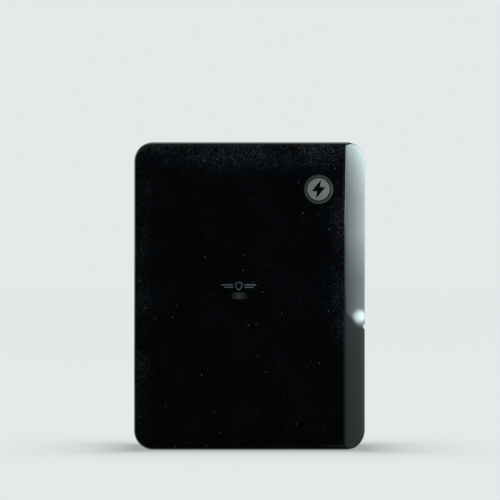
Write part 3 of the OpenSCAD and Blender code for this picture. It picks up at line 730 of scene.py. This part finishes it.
def outer_corner(edge, node):
    """Whether an edge of the node is a corner that moulding and handling leave rounded."""
    first, second = (v.co for v in edge.verts)
    if len(edge.link_faces) != 2 or edge.calc_face_angle_signed(0) <= EDGE_ANGLE:
        return False
    if node == "front_cover" and by_inset(first):
        return False
    return node in dict(SMALL_PARTS) or not deep_inside((first + second) / 2)


def joined_faces(first):
    """All the faces that hang together with the first."""
    group, waiting = {first}, [first]
    while waiting:
        for edge in waiting.pop().edges:
            fresh = set(edge.link_faces) - group
            group |= fresh
            waiting += fresh
    return group


def drop_scraps(bm):
    """Deletes groups of joined faces that are too few to enclose anything, and what bounds no face."""
    seen, scraps = set(), []
    for face in bm.faces:
        if face not in seen:
            group = joined_faces(face)
            seen |= group
            if len(group) < ENCLOSING:
                scraps += group
    bmesh.ops.delete(bm, geom=scraps, context="FACES")
    bmesh.ops.delete(bm, geom=[e for e in bm.edges if not e.link_faces], context="EDGES")
    bmesh.ops.delete(bm, geom=[v for v in bm.verts if not v.link_faces], context="VERTS")


def soften(node, width):
    """A copy of the node with its outer corners rounded, and without the faces of no area that it had."""
    bm = bmesh.new()
    bm.from_mesh(nodes[node].data)
    bmesh.ops.remove_doubles(bm, verts=bm.verts, dist=1.5 * SAME_POINT)
    bmesh.ops.dissolve_limit(bm, angle_limit=FLAT_ANGLE, use_dissolve_boundaries=False, verts=bm.verts,
                             edges=bm.edges, delimit={"NORMAL"})
    if width:
        corners = [edge for edge in bm.edges if outer_corner(edge, node)]
        bmesh.ops.bevel(bm, geom=corners, offset=width, offset_type="OFFSET", segments=ROUND_STEPS,
                        profile=0.5, affect="EDGES", clamp_overlap=False)
    bmesh.ops.remove_doubles(bm, verts=bm.verts, dist=SAME_POINT)
    bmesh.ops.dissolve_degenerate(bm, edges=bm.edges, dist=SAME_POINT)
    drop_scraps(bm)
    name = node + "_finished"
    add_piece(name, to_mesh(bm, name), slot_of[node], body_of[node], (node,))


for node, width in OUTER_PARTS + SMALL_PARTS:
    soften(node, width * MM)
for side in SIDES:
    soften(side + "_outlet_panel", PANEL_ROUNDING * MM)
    for row in ROWS:
        soften(side + "_" + row + "_safety_cover", COVER_ROUNDING * MM)

# ---------- badge, marks and label ----------

LATHE_STEPS = 96


def lathe(bm, profile, centre):
    """Turns a profile about the line through centre along Y. It is drawn in mm, as radius and height towards
    the viewer."""
    turns = [2 * math.pi * i / LATHE_STEPS for i in range(LATHE_STEPS)]
    rings = []
    for radius, height in profile:
        spots = [centre + Vector((radius * math.cos(t), -height, radius * math.sin(t))) * MM for t in turns]
        if radius == 0:
            rings.append([bm.verts.new(spots[0])] * LATHE_STEPS)
        else:
            rings.append([bm.verts.new(spot) for spot in spots])
    for lower, upper in zip(rings, rings[1:]):
        for i in range(LATHE_STEPS):
            j = (i + 1) % LATHE_STEPS
            bm.faces.new(list(dict.fromkeys((lower[i], lower[j], upper[j], upper[i]))))
    bmesh.ops.remove_doubles(bm, verts=bm.verts, dist=SAME_POINT)
    bmesh.ops.recalc_face_normals(bm, faces=bm.faces)


def raised(bm, outline, holes, place, low, high):
    """A flat shape, drawn in mm, made solid between two heights. place(x, z, height) puts a point."""
    levels = []
    for height in (low, high):
        rims = [[bm.verts.new(place(x, z, height)) for x, z in loop] for loop in (outline, *holes)]
        edges = [bm.edges.new(pair) for rim in rims for pair in zip(rim, rim[1:] + rim[:1])]
        bmesh.ops.triangle_fill(bm, edges=edges, use_beauty=True)
        levels.append(rims)
    for lower, upper in zip(*levels):
        for i in range(len(lower)):
            bm.faces.new((lower[i - 1], lower[i], upper[i], upper[i - 1]))
    bmesh.ops.recalc_face_normals(bm, faces=bm.faces)


def rounded_box(cx, cz, width, height, radius, steps=6):
    """The outline of a rectangle with rounded corners, steps to each corner."""
    points = []
    for sx, sz, start in ((1, 1, 0), (-1, 1, 90), (-1, -1, 180), (1, -1, 270)):
        for k in range(steps + 1):
            turn = math.radians(start + 90 * k / steps)
            points.append((cx + sx * (width / 2 - radius) + radius * math.cos(turn),
                           cz + sz * (height / 2 - radius) + radius * math.sin(turn)))
    return points


def on_face(cx, cz):
    """Places a mark, drawn about (0, 0) in mm, on the front face about that point in metres."""
    def place(x, z, height):
        return Vector((cx + x * MM, front_y - height * MM, cz + z * MM))
    return place


BADGE_PROFILE = (           # radius, height: a flat field, a groove for the enamel ring, and a crowned bezel
    (0, 0), (5.42, 0), (5.5, -0.03), (5.55, -0.12), (5.95, -0.12), (6.0, -0.02), (6.1, 0.05), (6.25, 0.07),
    (6.5, 0.06), (7.0, -0.04), (7.2, -0.12), (7.3, -0.24), (7.3, -0.5), (7.2, -0.59), (0, -0.59))
ENAMEL_RING = ((5.48, -0.15), (5.53, -0.06), (5.62, -0.04), (5.88, -0.04), (5.97, -0.06), (6.02, -0.15))
BOLT = ((1.2, 4.7), (-3.4, -0.95), (-0.7, -0.95), (-1.3, -4.7), (3.4, 1.05), (0.7, 1.05))
BOLT_HEIGHTS = (-0.05, 0.06)


def make_badge():
    """A spun disc with a dark ring and a plain lightning bolt of enamel."""
    face = Vector((badge_centre.x, front_y, badge_centre.z))
    bm = bmesh.new()
    lathe(bm, BADGE_PROFILE, face)
    add_piece("badge_disc", to_mesh(bm, "badge_disc"), "badge_metal", "casing", ("badge",))
    bm = bmesh.new()
    lathe(bm, (*ENAMEL_RING, ENAMEL_RING[0]), face)
    raised(bm, BOLT, (), on_face(badge_centre.x, badge_centre.z), *BOLT_HEIGHTS)
    add_piece("badge_enamel", to_mesh(bm, "badge_enamel"), "enamel", "casing")


MARK_RISE = 5.0 * MM                # from the middle of the window up to the mark
MARK_HEIGHTS = (-0.01, 0.012)
MARK_LINES = ((5.7, 0.45, 6.0), (5.0, -0.75, 4.6))     # how far aside, how high, how long
MARK_LINE_WIDTH, MARK_LINE_RADIUS = 0.55, 0.27


def shield(half, top, tip):
    """A shield's outline, about (0, 0): its half width, the height of its shoulders and that of its tip."""
    flank = ((half, -0.2), (half * 0.78, tip * 0.45), (half * 0.42, tip * 0.8))
    right = ((half * 0.5, top + 0.12), (half, top), *flank)
    left = [(-x, z) for x, z in reversed(right)]
    return [(0, top + 0.42), *right, (0, tip), *left]


def make_status_mark():
    """A plain shield between two pairs of lines, printed over the indicator window."""
    place = on_face(lens_centre.x, lens_centre.z + MARK_RISE)
    bm = bmesh.new()
    raised(bm, shield(1.75, 1.55, -2.35), [shield(1.25, 1.1, -1.7)[::-1]], place, *MARK_HEIGHTS)
    for sign in (-1, 1):
        for aside, rise, length in MARK_LINES:
            line = rounded_box(sign * aside, rise, length, MARK_LINE_WIDTH, MARK_LINE_RADIUS)
            raised(bm, line, (), place, *MARK_HEIGHTS)
    add_piece("status_mark", to_mesh(bm, "status_mark"), "print", "casing")


LABEL_RADIUS, LABEL_STEPS, LABEL_THICKNESS = 1.8, 10, 0.2
FRAME_INSET, FRAME_HEIGHTS = 1.6, (-0.005, 0.012)
FRAME_STYLE = (1.2, 0.35, 0.9)      # outer radius, line width, inner radius
FIELD_STYLE = (0.8, 0.25, 0.6)
FIELD_MARGIN = 2                    # between the frame and its fields, above and below
FIELDS = ((-11.3, 18.6), (9.9, 21.4))       # middle, width


def make_label():
    """The blank rating label, with a thin printed frame and two empty fields."""
    low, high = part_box("rating_label")
    width, height = (high.x - low.x) / MM, (high.z - low.z) / MM
    middle = (low + high) / 2

    def place(x, z, up):
        return Vector((middle.x - x * MM, high.y + up * MM, middle.z + z * MM))

    name = "rating_label_plate"
    bm = bmesh.new()
    raised(bm, rounded_box(0, 0, width, height, LABEL_RADIUS, LABEL_STEPS), (), place, -LABEL_THICKNESS, 0)
    add_piece(name, to_mesh(bm, name), "label", "casing", ("rating_label",))
    bm = bmesh.new()

    def printed(x, w, h, style):
        radius, line, inner_radius = style
        inner = rounded_box(x, 0, w - 2 * line, h - 2 * line, inner_radius)
        raised(bm, rounded_box(x, 0, w, h, radius), [inner[::-1]], place, *FRAME_HEIGHTS)

    frame_w, frame_h = width - 2 * FRAME_INSET, height - 2 * FRAME_INSET
    printed(0, frame_w, frame_h, FRAME_STYLE)
    for x, w in FIELDS:
        printed(x, w, frame_h - 2 * FIELD_MARGIN, FIELD_STYLE)
    add_piece("rating_label_frame", to_mesh(bm, "rating_label_frame"), "enamel", "casing")


make_badge()
make_status_mark()
make_label()
